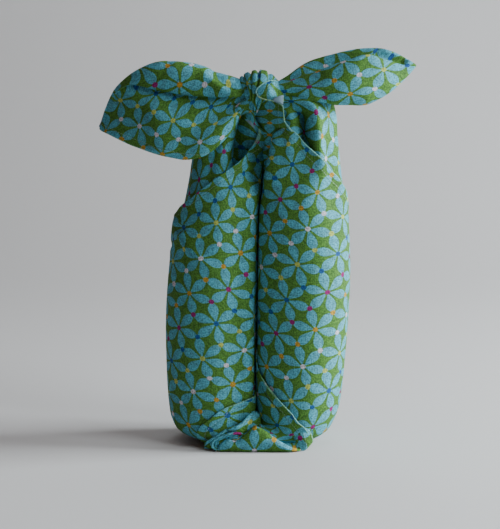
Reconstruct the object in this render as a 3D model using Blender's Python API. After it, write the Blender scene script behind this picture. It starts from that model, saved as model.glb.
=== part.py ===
"""A furoshiki tied round two bottles, stood up side by side: one square of printed cotton.

The square was rolled on the diagonal round two bottles lying base to base, the roll was bent
upright in the middle, and its two free corners were knotted over the top. It is one piece of
cloth, so it is one solid: two wound rolls, the fold that joins them underneath, the gathered
necks, the knot and the two free corners ("ears").

Frame: +X to the right, +Y away from the front, +Z up, metres. The origin is the middle of the
flat underside, between the two rolls.
"""

import math
from collections import namedtuple

import bmesh
import bpy
from mathutils import Vector

MM = 0.001

# ---- driving sizes, in millimetres -------------------------------------------------------
ROLL_SIDES = 40  # sides of a roll's cross-section
STEPS_BETWEEN_RINGS = 2  # rings worked out between two rows of a roll's table
HEM_RAMP = 7.0  # height over which the step at the hem fades
PLEATS = 9  # folds round a gathered neck
EAR_CLOTH = 1.8  # thickness of a free corner: the cloth, its hem and its small folds
EAR_ACROSS, EAR_ALONG = 14, 20  # faces across and along a free corner
KNOT_PLEATS = 5  # folds side by side in the band that wraps the knot
KNOT_PLEAT_SHARE = 0.045  # how far they stand proud, as a share of the knot's size
KNOT_STEPS = 3  # rings worked out between two rows of the knot's table
KNOT_SIDES = 20
WEB_SIDES = 16
RIDGE_SIDES, RIDGE_STEPS = 10, 8
RIDGE_END = 0.55  # a ridge's thickness at its ends, as a share of its middle
ROUNDED = 0.6  # exponent of the sole's outline: 1 is an ellipse, near 0 a rectangle
TUCK_INNER = 24.0  # how far from the middle the tucks start, inside the rolls
SOLE_TOP = 9.0  # height of the folded cloth that joins the rolls underneath
FOOT = 1.0  # the wound ends stop this far above the ground, inside the sole
TUCK_FLOOR = 0.7  # height of the underside of the tucks
PRESS = 0.8  # how far each roll presses past the crease into the other

# ---- tables, in millimetres and degrees ---------------------------------------------------
# A ring of a roll. x is measured from the crease outwards, tilt turns the ring towards the
# knot, across is half its width in the tilted plane, deep is half its depth from front to back.
Ring = namedtuple("Ring", "x y z tilt across deep pleat")

RIGHT_ROLL = (
    Ring(24.0, 0.0, 0.0, 0, 21.0, 27.0, 0.0),
    Ring(27.5, 0.0, 2.5, 0, 26.0, 31.0, 0.0),
    Ring(31.0, 0.0, 10.0, 0, 30.5, 35.5, 0.0),
    Ring(34.0, 0.0, 20.0, 0, 34.0, 38.0, 0.0),
    Ring(37.0, 0.0, 36.0, 0, 37.0, 39.5, 0.0),
    Ring(38.7, 0.0, 65.0, 0, 38.7, 40.0, 0.0),
    Ring(40.0, 0.0, 105.0, 0, 40.0, 40.5, 0.0),
    Ring(40.7, 0.0, 150.0, 0, 40.7, 40.5, 0.0),
    Ring(40.0, 0.0, 182.0, 0, 39.7, 40.0, 0.0),
    Ring(39.3, 0.0, 207.0, 1, 38.0, 39.0, 0.2),
    Ring(39.5, 0.0, 229.0, 2, 35.0, 37.0, 0.5),
    Ring(40.0, -1.0, 249.0, 4, 31.5, 34.5, 0.9),
    Ring(40.5, -3.0, 267.0, 9, 28.5, 31.0, 1.5),
    Ring(40.0, -5.0, 280.0, 20, 27.0, 27.0, 1.8),
    Ring(36.5, -8.0, 287.5, 42, 22.5, 22.0, 1.8),
    Ring(28.0, -10.0, 290.5, 60, 16.5, 17.0, 1.6),
    Ring(17.5, -11.0, 296.0, 74, 12.5, 13.5, 1.4),
    Ring(6.0, -12.0, 301.5, 84, 10.0, 11.0, 1.0),
)

LEFT_ROLL = (
    Ring(26.0, 0.0, 0.0, 0, 22.0, 27.0, 0.0),
    Ring(31.0, 0.0, 2.5, 0, 29.0, 32.0, 0.0),
    Ring(36.0, 0.0, 8.0, 0, 35.5, 36.5, 0.0),
    Ring(38.3, 0.0, 17.0, 0, 38.3, 39.0, 0.0),
    Ring(39.4, 0.0, 34.0, 0, 39.4, 40.0, 0.0),
    Ring(40.0, 0.0, 62.0, 0, 40.0, 40.0, 0.0),
    Ring(40.2, 0.0, 105.0, 0, 40.2, 40.0, 0.0),
    Ring(39.2, 0.0, 140.0, 0, 39.2, 39.5, 0.0),
    Ring(37.3, 0.0, 170.0, 0, 37.1, 38.5, 0.0),
    Ring(35.2, 0.0, 192.0, 0, 34.7, 37.0, 0.2),
    Ring(32.2, 0.0, 212.0, 1, 31.6, 35.5, 0.5),
    Ring(30.3, -1.0, 232.0, 2, 29.3, 33.0, 0.9),
    Ring(28.6, -2.0, 250.0, 5, 27.4, 30.5, 1.4),
    Ring(27.0, -5.0, 266.0, 13, 25.4, 27.5, 2.0),
    Ring(24.0, -8.0, 281.0, 30, 22.0, 22.5, 2.3),
    Ring(17.5, -11.0, 293.0, 52, 16.5, 17.0, 1.8),
    Ring(6.0, -12.0, 300.0, 74, 11.5, 12.0, 1.0),
)

# Where the hem of the outermost turn runs: its height at each quarter turn, starting at the
# front near the foot, then at the crease, the back, the outer side, the front again and the
# crease again. stand is how far the turn stands off there.
Hem = namedtuple("Hem", "turn z stand")

RIGHT_HEM = (
    Hem(-90, -30.0, 1.2),
    Hem(0, 17.0, 1.2),
    Hem(90, 80.0, 1.0),
    Hem(180, 145.0, 1.2),
    Hem(270, 214.0, 1.6),
    Hem(360, 266.0, 1.8),
    Hem(450, 306.0, 1.8),
)
LEFT_HEM = (
    Hem(-90, -20.0, 1.2),
    Hem(0, 22.0, 1.2),
    Hem(90, 42.0, 1.0),
    Hem(180, 112.0, 1.2),
    Hem(270, 193.0, 6.0),
    Hem(360, 229.0, 1.8),
    Hem(450, 266.0, 1.6),
)

# A rib of a free corner, from the knot to the tip. Each rib runs back, crest, valley, belly,
# hem; every one of those has its depth y and height z, and hem_x is where the hem lies along x.
Rib = namedtuple(
    "Rib",
    "x back_y back_z crest_y crest_z valley_y valley_z belly_y belly_z hem_x hem_y hem_z",
)

LEFT_EAR = (
    Rib(-8.0, -4, 302, -10, 308, -14, 303, -16, 300, -8.0, -14, 296),
    Rib(-22.0, 1, 300, -10, 319, -19, 303, -24, 289, -26.0, -20, 271),
    Rib(-37.0, 6, 299, -9, 327, -20, 304, -30, 279, -45.0, -25, 256),
    Rib(-55.0, 9, 300, -9, 333, -21, 305, -33, 277, -66.0, -29, 252),
    Rib(-76.0, 11, 303, -8, 335, -20, 307, -32, 281, -87.0, -26, 256.5),
    Rib(-95.0, 11, 308, -6, 332, -16, 308, -25, 284, -106.0, -17, 263),
    Rib(-113.0, 10, 305, -1, 320, -8, 305, -14, 285, -122.0, -8, 269.5),
    Rib(-127.0, 9, 296, 4, 304, 1, 297, -2, 285, -132.0, -1, 274),
    Rib(-134.5, 8.5, 284, 7, 283, 6, 281, 6, 278.5, -135.0, 5, 276),
)

RIGHT_EAR = (
    Rib(12.0, -4, 304, -9, 312, -13, 309, -16, 305, 12.0, -12, 300),
    Rib(24.0, 2, 307, -8, 320.5, -15, 316, -20, 310, 24.0, -13, 303.5),
    Rib(42.0, 6, 309, -7, 333, -17, 324.5, -25, 312, 42.0, -14, 300.5),
    Rib(61.0, 8, 312, -8, 339, -19, 331, -28, 314, 61.0, -14, 298.5),
    Rib(79.0, 8, 315, -9, 343, -19, 334, -28, 316, 79.0, -14, 297.5),
    Rib(94.0, 6, 319, -9, 345, -17, 337, -25, 318, 93.0, -13, 298),
    Rib(109.0, 3, 325, -8, 344, -14, 337, -20, 323, 108.0, -12, 305.5),
    Rib(122.0, 0, 331, -6, 340, -10, 334, -13, 326, 121.0, -10, 315),
    Rib(135.0, -3, 336.5, -4.5, 334.5, -6, 331.5, -7, 328.5, 135.0, -7, 325.5),
)

# The knot, ring by ring along x: its middle height and half sizes.
KnotRing = namedtuple("KnotRing", "x y z high deep")

KNOT = (
    KnotRing(-19.0, -12, 303, 6.0, 7.0),
    KnotRing(-15.0, -13, 304, 11.5, 12.0),
    KnotRing(-9.0, -14, 305, 14.5, 15.5),
    KnotRing(-2.0, -15, 305, 16.5, 17.5),
    KnotRing(5.0, -15, 305, 16.5, 18.0),
    KnotRing(12.0, -14, 305, 15.0, 16.5),
    KnotRing(18.0, -13, 305, 12.0, 13.0),
    KnotRing(22.0, -12, 306, 6.5, 8.0),
)

# A point of a rib.
Point = namedtuple("Point", "x y z")

# The cloth that joins the rolls underneath, as rounded outlines one above the other.
Outline = namedtuple("Outline", "z half_x half_y")

SOLE = (
    Outline(0.0, 45.0, 38.0),
    Outline(1.5, 49.0, 42.0),
    Outline(5.0, 50.0, 43.0),
    Outline(SOLE_TOP, 44.0, 38.0),
)

# The triangular tuck where the bent roll closes, seen between the feet: a pocket's section at
# each x. out is how far it reaches past the crease, top is its height.
Tuck = namedtuple("Tuck", "x out top")

FRONT_TUCK = (
    Tuck(-44.0, 37.0, 4.0),
    Tuck(-36.0, 44.0, 7.0),
    Tuck(-22.0, 48.5, 12.0),
    Tuck(-9.0, 50.5, 17.5),
    Tuck(-1.0, 51.0, 20.0),
    Tuck(10.0, 50.5, 16.5),
    Tuck(23.0, 48.5, 10.5),
    Tuck(33.0, 45.0, 6.0),
    Tuck(40.0, 38.0, 4.0),
)
BACK_TUCK = (
    Tuck(-42.0, 36.0, 4.0),
    Tuck(-31.0, 43.0, 8.0),
    Tuck(-14.0, 47.0, 14.0),
    Tuck(0.0, 48.5, 19.0),
    Tuck(16.0, 47.0, 13.0),
    Tuck(31.0, 43.0, 8.0),
    Tuck(42.0, 36.0, 4.0),
)

# The inner turns of the right roll that show as a shaded panel under the knot, ring by ring.
Web = namedtuple("Web", "x y z half_x half_y")

NECK_WEB = (
    Web(1.0, 2.0, 206.0, 3.0, 6.0),
    Web(2.5, 2.0, 222.0, 5.0, 7.0),
    Web(4.0, 1.0, 238.0, 7.0, 8.0),
    Web(5.5, -2.0, 252.0, 9.0, 9.0),
    Web(6.5, -7.0, 263.0, 10.5, 10.5),
    Web(7.0, -11.0, 274.0, 12.0, 12.0),
    Web(7.0, -13.0, 286.0, 13.0, 13.0),
    Web(6.0, -14.2, 296.0, 10.4, 11.6),
    Web(4.6, -14.6, 301.3, 7.3, 8.7),
)

# The turns of the roll that buckle beside the tuck: each is a soft ridge from the crease down
# to the foot of the left roll.
Ridge = namedtuple("Ridge", "start middle end thick")

FOOT_RIDGES = (
    Ridge((-3.0, -30.0, 36.0), (-24.0, -39.0, 22.0), (-50.0, -34.0, 7.0), 4.0),
    Ridge((-4.0, -34.0, 27.0), (-22.0, -44.0, 14.0), (-44.0, -39.0, 4.5), 4.0),
)


# ---- helpers ------------------------------------------------------------------------------
def between(rows, position):
    """A row read from a table at a fractional position, on a smooth curve through its rows."""
    last = len(rows) - 1
    index = min(int(position), last - 1)
    share = position - index
    before, here = rows[max(index - 1, 0)], rows[index]
    there, after = rows[index + 1], rows[min(index + 2, last)]
    values = []
    for a, b, c, d in zip(before, here, there, after):
        slope_in, slope_out = (c - a) / 2, (d - b) / 2
        values.append(
            (2 * share**3 - 3 * share**2 + 1) * b
            + (share**3 - 2 * share**2 + share) * slope_in
            + (-2 * share**3 + 3 * share**2) * c
            + (share**3 - share**2) * slope_out
        )
    return type(here)(*values)


def smooth(share):
    """A soft step from 0 to 1 as share goes from 0 to 1."""
    share = min(max(share, 0.0), 1.0)
    return share * share * (3 - 2 * share)


def add_object(name, mesh):
    """A new object for a mesh, in the scene."""
    made = bpy.data.objects.new(name, mesh)
    bpy.context.scene.collection.objects.link(made)
    return made


def loft(name, rings):
    """One closed mesh through rings of points, each ring the same number of points."""
    mesh_edit = bmesh.new()
    sides = len(rings[0])
    loops = []
    for points in rings:
        circle = bmesh.ops.create_circle(mesh_edit, segments=sides, radius=1.0)["verts"]
        for vertex, point in zip(circle, points):
            vertex.co = Vector(point) * MM
        loops.append(list({edge for vertex in circle for edge in vertex.link_edges}))
    for lower, upper in zip(loops, loops[1:]):
        bmesh.ops.bridge_loops(mesh_edit, edges=lower + upper)
    for end in (loops[0], loops[-1]):
        bmesh.ops.contextual_create(mesh_edit, geom=end)
    bmesh.ops.recalc_face_normals(mesh_edit, faces=mesh_edit.faces)
    mesh = bpy.data.meshes.new(name)
    mesh_edit.to_mesh(mesh)
    mesh_edit.free()
    return add_object(name, mesh)


# ---- the pieces of the form -----------------------------------------------------------------
def hem_cover(hem, turn, height):
    """How far the outermost turn stands proud at a place on a roll: 0 where it has ended.

    turn is counted from the front towards the crease, in degrees, from 0 to 360. The outermost
    turn is what lies under its hem, which climbs round the roll.
    """
    step = (turn % 360.0 + 90.0) / 90.0
    row = between(hem, step)
    return row.stand * smooth((row.z - height) / HEM_RAMP + 0.5)


def roll(name, table, hem, side):
    """A wound roll: a round tube of cloth that leans in and gathers to the knot.

    side is +1 for the right roll and -1 for the left, whose crease faces the other way.
    """
    rings = []
    count = (len(table) - 1) * STEPS_BETWEEN_RINGS
    for number in range(count + 1):
        ring = between(table, number / STEPS_BETWEEN_RINGS)
        lean = math.radians(ring.tilt)
        points = []
        for corner in range(ROLL_SIDES):
            angle = 2 * math.pi * (corner + 0.25 * side) / ROLL_SIDES
            outwards, backwards = math.cos(angle), math.sin(angle)
            turn = math.degrees(math.atan2(-outwards, -backwards))
            height = ring.z + ring.across * outwards * math.sin(lean)
            pleat = ring.pleat * math.cos(PLEATS * angle)
            proud = pleat + hem_cover(hem, turn, height)
            across = (ring.across + proud) * outwards
            x = ring.x - PRESS + across * math.cos(lean)
            z = ring.z + across * math.sin(lean)
            points.append((side * x, ring.y + (ring.deep + proud) * backwards, max(z, FOOT)))
        rings.append(points)
    return loft(name, rings)


def ear(name, table):
    """A free corner of the square: one cupped sheet, gathered at the knot, with its hem below."""
    mesh_edit = bmesh.new()
    bmesh.ops.create_grid(mesh_edit, x_segments=EAR_ALONG, y_segments=EAR_ACROSS, size=1.0)
    for vertex in mesh_edit.verts:
        rib = between(table, (vertex.co.x + 1) / 2 * (len(table) - 1))
        line = (
            Point(rib.x, rib.back_y, rib.back_z),
            Point(rib.x, rib.crest_y, rib.crest_z),
            Point(rib.x, rib.valley_y, rib.valley_z),
            Point((rib.x + rib.hem_x) / 2, rib.belly_y, rib.belly_z),
            Point(rib.hem_x, rib.hem_y, rib.hem_z),
        )
        point = between(line, (vertex.co.y + 1) / 2 * (len(line) - 1))
        vertex.co = Vector(point) * MM
    mesh = bpy.data.meshes.new(name)
    mesh_edit.to_mesh(mesh)
    mesh_edit.free()
    made = add_object(name, mesh)
    sheet = made.modifiers.new("cloth", "SOLIDIFY")
    sheet.thickness = EAR_CLOTH * MM
    sheet.offset = 0.0
    return made


def knot(name):
    """The tight band over the middle: a drum across x, with its folds running over the top."""
    rings = []
    count = (len(KNOT) - 1) * KNOT_STEPS
    for number in range(count + 1):
        ring = between(KNOT, number / KNOT_STEPS)
        fold = 1 + KNOT_PLEAT_SHARE * math.cos(2 * math.pi * KNOT_PLEATS * number / count)
        points = []
        for corner in range(KNOT_SIDES):
            angle = 2 * math.pi * corner / KNOT_SIDES
            points.append(
                (
                    ring.x,
                    ring.y + ring.deep * fold * math.cos(angle),
                    ring.z + ring.high * fold * math.sin(angle),
                )
            )
        rings.append(points)
    return loft(name, rings)


def sole(name):
    """The flat fold underneath that carries both rolls."""
    rings = []
    for outline in SOLE:
        points = []
        for corner in range(ROLL_SIDES):
            angle = 2 * math.pi * corner / ROLL_SIDES
            wide, long = math.cos(angle), math.sin(angle)
            x = outline.half_x * math.copysign(abs(wide) ** ROUNDED, wide)
            y = outline.half_y * math.copysign(abs(long) ** ROUNDED, long)
            points.append((x, y, outline.z))
        rings.append(points)
    return loft(name, rings)


def web(name):
    """The shaded panel that closes the gap between the two necks under the knot."""
    rings = []
    count = (len(NECK_WEB) - 1) * STEPS_BETWEEN_RINGS
    for number in range(count + 1):
        ring = between(NECK_WEB, number / STEPS_BETWEEN_RINGS)
        points = []
        for corner in range(WEB_SIDES):
            angle = 2 * math.pi * corner / WEB_SIDES
            x = ring.x + ring.half_x * math.cos(angle)
            points.append((x, ring.y + ring.half_y * math.sin(angle), ring.z))
        rings.append(points)
    return loft(name, rings)


def tuck(name, table, side):
    """The pocket between the feet. side is -1 for the front and +1 for the back."""
    rings = []
    count = (len(table) - 1) * STEPS_BETWEEN_RINGS
    for number in range(count + 1):
        row = between(table, number / STEPS_BETWEEN_RINGS)
        section = (
            (TUCK_INNER, TUCK_FLOOR),
            (row.out - 3.0, TUCK_FLOOR),
            (row.out, row.top * 0.3),
            (row.out - 1.0, row.top * 0.7),
            (row.out - 5.0, row.top),
            (TUCK_INNER + 4.0, row.top + 1.5),
            (TUCK_INNER, row.top * 0.5),
        )
        rings.append([(row.x, side * out, z) for out, z in section])
    return loft(name, rings)


def ridge(name, row):
    """One buckled turn beside the tuck: a soft ridge on a bent line."""
    start, middle, end = Vector(row.start), Vector(row.middle), Vector(row.end)
    rings = []
    for step in range(RIDGE_STEPS + 1):
        share = step / RIDGE_STEPS
        centre = start.lerp(middle, share).lerp(middle.lerp(end, share), share)
        along = (middle - start).lerp(end - middle, share).normalized()
        turn = along.to_track_quat("X", "Z").to_matrix()
        thick = row.thick * (RIDGE_END + (1 - RIDGE_END) * math.sin(math.pi * share))
        points = []
        for corner in range(RIDGE_SIDES):
            angle = 2 * math.pi * corner / RIDGE_SIDES
            round_it = Vector((0.0, thick * math.cos(angle), thick * math.sin(angle)))
            points.append(centre + turn @ round_it)
        rings.append(points)
    return loft(name, rings)


def cotton():
    """Printed cotton: its mean colour, matt."""
    material = bpy.data.materials.new("printed_cotton")
    material.use_nodes = True
    shader = material.node_tree.nodes["Principled BSDF"]
    shader.inputs["Base Color"].default_value = (0.10, 0.27, 0.24, 1.0)
    shader.inputs["Roughness"].default_value = 0.85
    shader.inputs["Metallic"].default_value = 0.0
    return material


def main():
    for old in list(bpy.data.objects):
        bpy.data.objects.remove(old)

    cloth = roll("furoshiki_cloth", RIGHT_ROLL, RIGHT_HEM, 1)
    joined = [
        roll("left_roll", LEFT_ROLL, LEFT_HEM, -1),
        sole("sole"),
        tuck("front_tuck", FRONT_TUCK, -1),
        tuck("back_tuck", BACK_TUCK, 1),
        web("neck_web"),
        knot("knot"),
        ear("left_ear", LEFT_EAR),
        ear("right_ear", RIGHT_EAR),
    ]
    joined += [ridge(f"ridge_{number}", row) for number, row in enumerate(FOOT_RIDGES)]
    for piece in joined:
        piece.hide_render = True
        piece.display_type = "WIRE"
        union = cloth.modifiers.new(piece.name, "BOOLEAN")
        union.operation = "UNION"
        union.object = piece
    cloth.data.materials.append(cotton())
    cloth.data.shade_smooth()


main()
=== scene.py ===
"""Looks of a furoshiki wrap: one printed cotton square rolled, bent upright and knotted.

The wrap is one piece of thin cloth made of overlapping patches: two wound rolls, and nets of
points for the ears, the knot and the folds at the foot. Every point of a patch has its place on
the flat square, so that the print, the hem and the stitches follow the folds as on real cloth.

Lengths are in millimetres until a mesh is written, when they become metres. x is measured from
the crease between the rolls, z from the ground, and the front of the wrap faces -y.
"""

import logging
import math
from collections.abc import Sequence
from dataclasses import dataclass, field
from enum import Enum
from functools import partialmethod
from typing import NamedTuple

import bmesh
import bpy
import numpy as np
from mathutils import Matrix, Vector, noise


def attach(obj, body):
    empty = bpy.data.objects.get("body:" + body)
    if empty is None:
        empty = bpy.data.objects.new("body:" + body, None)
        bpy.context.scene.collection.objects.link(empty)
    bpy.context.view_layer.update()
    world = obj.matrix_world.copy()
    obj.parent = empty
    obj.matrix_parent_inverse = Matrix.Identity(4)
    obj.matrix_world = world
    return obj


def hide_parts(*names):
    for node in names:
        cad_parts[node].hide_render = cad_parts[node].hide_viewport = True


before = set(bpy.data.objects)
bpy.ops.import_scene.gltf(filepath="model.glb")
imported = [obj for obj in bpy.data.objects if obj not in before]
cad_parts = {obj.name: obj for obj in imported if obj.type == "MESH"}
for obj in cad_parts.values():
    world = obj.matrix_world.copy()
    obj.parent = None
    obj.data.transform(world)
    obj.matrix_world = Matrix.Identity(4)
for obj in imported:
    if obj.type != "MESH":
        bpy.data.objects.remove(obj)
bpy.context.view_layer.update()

LOG = logging.getLogger("furoshiki")
MM = 0.001
NODE = "furoshiki_cloth"
FULL_TURN = 2 * math.pi
FLOOR_GAP = 0.5  # the lowest that cloth is laid, in millimetres

Point = tuple[float, float, float]
Colour = tuple[float, float, float]
Pair = tuple[float, float]
Curve = tuple[tuple[float, float], ...]  # pairs of a place and the value there


# ---- the flat cloth ----
@dataclass(frozen=True)
class Square:
    """The cut square and its print, with places u, v along two of its hems.

    cloth and hem_cloth are thicknesses, repeat is the distance between flowers, and the middle of
    one flower is at first_u, first_v.
    """

    side: float = 750.0
    cloth: float = 0.42
    hem_cloth: float = 1.05
    hem_width: float = 7.4
    hem_slope: float = 0.8
    repeat: float = 34.52
    first_u: float = 6.0
    first_v: float = -7.5


SQUARE = Square()


class Spot(NamedTuple):
    """A point of the cloth: where it is, its place u, v on the flat square, and how far it lies
    inside the sewn edge, where that isn't its distance to the square's edge."""

    at: Vector
    u: float
    v: float
    inside: float | None = None

    @property
    def hem(self) -> float:
        """Distance to the sewn edge."""
        if self.inside is not None:
            return self.inside
        return min(self.u, self.v, SQUARE.side - self.u, SQUARE.side - self.v)


# ---- small mathematics ----
def soft_step(low: float, high: float, value: float) -> float:
    """A smooth step from 0 at low to 1 at high."""
    share = min(max((value - low) / (high - low), 0.0), 1.0)
    return share * share * (3.0 - 2.0 * share)


def window(value: float, opens: Pair, closes: Pair) -> float:
    """1 between two smooth steps, and 0 beyond them."""
    return soft_step(*opens, value) * (1.0 - soft_step(*closes, value))


def bell(away: float, width: float) -> float:
    """A smooth bump: 1 where away is 0, fading over the width."""
    return math.exp(-((away / width) ** 2))


def read(curve: Curve, at: float | np.ndarray, period: float | None = None) -> float | np.ndarray:
    """Read a curve between its pairs."""
    return np.interp(at, *zip(*curve), period=period)


def between(
    share: float, start: np.ndarray, leaving: np.ndarray, end: np.ndarray, arriving: np.ndarray
) -> np.ndarray:
    """A row on the smooth curve between two rows, from the slopes leaving and arriving there."""
    square, cube = share**2, share**3
    return (
        (2 * cube - 3 * square + 1) * start
        + (cube - 2 * square + share) * leaving
        + (3 * square - 2 * cube) * end
        + (cube - square) * arriving
    )


def spline(rows: np.ndarray, position: float) -> np.ndarray:
    """Read a table at a fractional row, on a smooth curve through its rows."""
    last = len(rows) - 1
    index = min(max(int(position), 0), last - 1)
    before, here = rows[max(index - 1, 0)], rows[index]
    there, after = rows[index + 1], rows[min(index + 2, last)]
    return between(position - index, here, (there - before) / 2, there, (after - here) / 2)


def ripple(point: Sequence[float], size: float, seed: float) -> float:
    """Smooth noise from -1 to 1 with bumps of a size, the same at every run."""
    x, y, z = point
    return noise.noise(Vector((x / size + seed, y / size - seed, z / size + 2 * seed)))


# ---- the sheet that all patches join ----
def placed(name: str, data: bpy.types.ID) -> bpy.types.Object:
    """Put a new object in the scene."""
    made = bpy.data.objects.new(name, data)
    bpy.context.scene.collection.objects.link(made)
    return made


class Sheet:
    """One mesh that gathers the patches of the cloth."""

    def __init__(self) -> None:
        """Start an empty mesh with its cloth coordinates and hem weights."""
        self.edit = bmesh.new()
        self.uv = self.edit.loops.layers.uv.new("cloth")
        self.sewing = self.edit.loops.layers.uv.new("sewing")
        self.weight = self.edit.verts.layers.deform.verify()

    def lay(self, rows: list[list[Spot]]) -> None:
        """Add a patch.

        Args:
            rows: Rows of spots. Seen from the printed face, a row runs to the right and the next
                row lies above it.
        """
        wide, tall = len(rows[0]) - 1, len(rows) - 1
        hem_starts = SQUARE.hem_width - SQUARE.hem_slope
        made = bmesh.ops.create_grid(self.edit, x_segments=wide, y_segments=tall, size=1.0)
        spots = {}
        for vertex in made["verts"]:
            column = round((vertex.co.x + 1) / 2 * wide)
            row = round((vertex.co.y + 1) / 2 * tall)
            spot = rows[row][column]
            spots[vertex] = spot
            vertex.co = spot.at * MM
            vertex[self.weight][0] = 1.0 - soft_step(hem_starts, SQUARE.hem_width, spot.hem)
        for face in {face for vertex in made["verts"] for face in vertex.link_faces}:
            for loop in face.loops:
                spot = spots[loop.vert]
                loop[self.uv].uv = (spot.u * MM, spot.v * MM)
                # the distance inside the sewn edge: it places the stitches, the painted edge
                # highlight and the painted groove shade
                loop[self.sewing].uv = (spot.hem * MM, 0.0)

    def lay_samples(self, samples: np.ndarray) -> None:
        """Add a patch given as numbers, shape (across, up, 5 or 6): the values of its spots."""
        upwards = np.swapaxes(samples, 0, 1)
        self.lay([[Spot(Vector(s[:3]), *map(float, s[3:])) for s in row] for row in upwards])

    def finish(self, name: str, dress: Sequence[bpy.types.Material]) -> bpy.types.Object:
        """Make the piece, with the cloth's thickness and the materials of its two sides."""
        mesh = bpy.data.meshes.new(name)
        self.edit.to_mesh(mesh)
        self.edit.free()
        mesh.shade_smooth()
        piece = placed(name, mesh)
        piece.vertex_groups.new(name="hem")
        for material in dress:
            mesh.materials.append(material)
        wall = piece.modifiers.new("cloth", "SOLIDIFY")
        wall.thickness = SQUARE.hem_cloth * MM
        wall.offset = -1.0
        wall.vertex_group = "hem"
        wall.thickness_vertex_group = SQUARE.cloth / SQUARE.hem_cloth
        wall.material_offset = 1
        return piece


# ---- the two rolls ----
class Side(Enum):
    """Which roll: its sign along x."""

    RIGHT = 1
    LEFT = -1


class Ring(NamedTuple):
    """A cross-section of a roll.

    Its middle is x outwards from the crease, y back and z up. It leans by tilt degrees, is
    2 x across wide and 2 x deep from front to back, and its pleats are gather deep.
    """

    x: float
    y: float
    z: float
    tilt: float
    across: float
    deep: float
    gather: float


class Crease(NamedTuple):
    """A soft trough (or, with a negative depth, a ridge) along a roll.

    It runs from the turn start, in degrees from the front towards the other roll, at height low,
    to the turn end at height high. Where under isn't 0, it takes hold only of cloth with about
    that many turns over it.
    """

    start: float
    low: float
    end: float
    high: float
    depth: float
    width: float
    under: float = 0.0

    def depth_at(self, degrees: float, height: float, layer: float) -> float:
        """How deep it is at a turn and a height, under so many turns of cloth."""
        share = (height - self.low) / (self.high - self.low)
        middle = self.start + (self.end - self.start) * share
        away = (degrees - middle + 180.0) % 360.0 - 180.0
        hold = soft_step(self.under - 0.15, self.under + 0.1, layer) if self.under else 1.0
        depth = self.depth * window(share, CREASE_OPENS, CREASE_CLOSES)
        return hold * depth * bell(away, self.width)


CREASE_OPENS = (-0.25, 0.15)  # the shares of its length where a crease deepens
CREASE_CLOSES = (0.85, 1.25)  # and where it dies away


class Ruck(NamedTuple):
    """Small unevenness of cloth: its depth, the size of its bumps and its pattern."""

    depth: float
    size: float
    seed: float

    def out(self, point: Sequence[float]) -> float:
        """How far the cloth stands out at a point."""
        return self.depth * ripple(point, self.size, self.seed)


class Gather(NamedTuple):
    """A ring of pleats. start and climb are angles in radians, at height 0 and for each millimetre
    of height, and side_start is added or taken away by the roll's side."""

    count: int
    share: float
    start: float
    side_start: float
    climb: float


ROLL_RUCKS = (Ruck(0.9, 38.0, 1.0), Ruck(0.35, 13.0, 4.0))
GATHERS = (Gather(7, 1.0, 0.0, 0.8, 0.012), Gather(11, 0.6, 2.1, 0.0, 0.03))


@dataclass(frozen=True)
class Contact:
    """The wavy surface where the two rolls press together.

    line is its x at each height: the left roll passes behind the right neck. gap is how far the
    outermost cloth stays from it, and turn_gap how much further each turn inwards stays.
    """

    line: Curve = ((0, 0), (205, 0), (214, 0.6), (231, 3.9), (249, 7.3), (276, 12), (300, 14))
    wave: float = 1.6
    wave_y: float = 5.5
    wave_z: float = 60.0
    gap: float = 0.25
    turn_gap: float = 0.9
    soft: float = 0.7

    def press(self, side: Side, place: Point, layer: float) -> float:
        """The x of a point kept on its own side, under so many turns of cloth."""
        x, y, z = place
        contact = read(self.line, z) + self.wave * math.sin(y / self.wave_y + z / self.wave_z)
        gap = self.gap + self.turn_gap * layer
        beyond = (x - contact) * side.value - gap
        return contact + side.value * (gap + self.soft * math.log1p(math.exp(beyond / self.soft)))


CONTACT = Contact()


@dataclass(frozen=True)
class Lift:
    """How the outermost turn stands off its roll.

    Its hem stands off by least, by wave more at the crests of its waves, and by most more at one
    place: a turn in degrees and a height, each with a width. It settles over reach turns.
    """

    reach: float
    least: float
    wave: float
    seed: float
    most: float = 0.0
    degrees: Pair = (275.0, 45.0)
    height: Pair = (190.0, 26.0)
    wave_length: float = 45.0
    radius: float = 40.0

    def at(self, height: float, turn: float, layer: float) -> float:
        """How far a point stands off, by height, turn in radians and turns of cloth over it."""
        edge = 1.0 - soft_step(0.0, self.reach, layer)
        near = bell(math.degrees(turn) % 360.0 - self.degrees[0], self.degrees[1])
        near *= bell(height - self.height[0], self.height[1])
        wave = 0.5 + 0.5 * ripple((height, self.radius * turn, 0.0), self.wave_length, self.seed)
        return edge * (self.least + self.wave * wave + self.most * near)


@dataclass(frozen=True)
class Samples:
    """Rows up a roll, and columns across its hem, on its outer turn and on its hidden turns."""

    rows: int = 122
    lowest: float = 1.0
    hem: tuple[float, ...] = (0.0, 0.9, 3.5, 6.5, 9.4, 10.4, 11.6)
    outer: int = 92
    outer_first: float = 14.0
    outer_past: float = 26.0
    inner: int = 25


SAMPLES = Samples()
TURN_STEPS = 2000  # steps of the table that finds a turn from the cloth used up
FOOT_OPENS = (-25.0, 30.0)  # slack at the foot comes over these heights
FOOT_CLOSES = (30.0, 100.0)  # and goes over these
SLIP_ROUND = (375.0, 480.0)  # cloth slips from this far round a roll
SLIP_HEIGHTS = (150.0, 200.0)  # and from this high


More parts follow.
